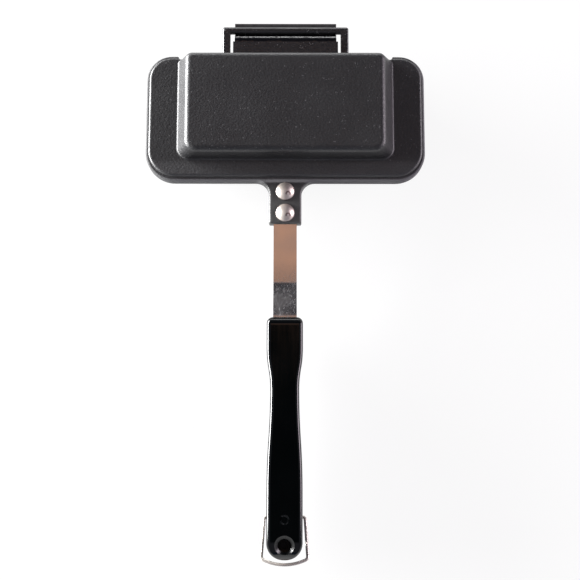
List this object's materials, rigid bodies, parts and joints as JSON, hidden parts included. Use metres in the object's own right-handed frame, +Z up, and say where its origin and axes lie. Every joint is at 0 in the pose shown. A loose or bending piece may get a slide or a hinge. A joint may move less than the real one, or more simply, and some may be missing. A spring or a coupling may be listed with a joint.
{
  "type": "pie iron",
  "caption": "Long-handled hinged cooking iron for one folded slice of bread: two drafted plates on a hook hinge, twin handles and a wire bail that latches them shut.",
  "frame": {"origin": "centre of the lower plate's flat base, on which the closed iron lies", "axes": "+Z up through the closed plates, +Y from the handles towards the hinge, +X across the iron to the right seen from above with the handles nearest"},
  "size_m": [0.1562, 0.3013, 0.036],
  "materials": {
    "plate": "matte black non-stick coating over die-cast aluminium",
    "strap": "bright rolled steel strip",
    "rivet": "polished steel rivet head",
    "handle": "gloss black moulded phenolic",
    "bail": "chromed steel wire"
  },
  "bodies": {
    "lower_half": {"lower_plate": "plate", "lower_strap": "strap", "lower_rivet_front": "rivet", "lower_rivet_rear": "rivet", "lower_handle": "handle"},
    "upper_half": {"upper_plate": "plate", "upper_strap": "strap", "upper_rivet_front": "rivet", "upper_rivet_rear": "rivet", "upper_handle": "handle"},
    "bail": {"bail": "bail"}
  },
  "joints": [
    {"name": "plate_hinge", "type": "hinge", "parent": "lower_half", "child": "upper_half", "pos_m": [0, 0.04595, 0.018], "axis": [-1, 0, 0], "range_deg": [0, 180]},
    {"name": "bail_pivot", "type": "hinge", "parent": "lower_half", "child": "bail", "pos_m": [0, -0.2266, 0.0116], "axis": [-1, 0, 0], "range_deg": [-184, 102]}
  ]
}
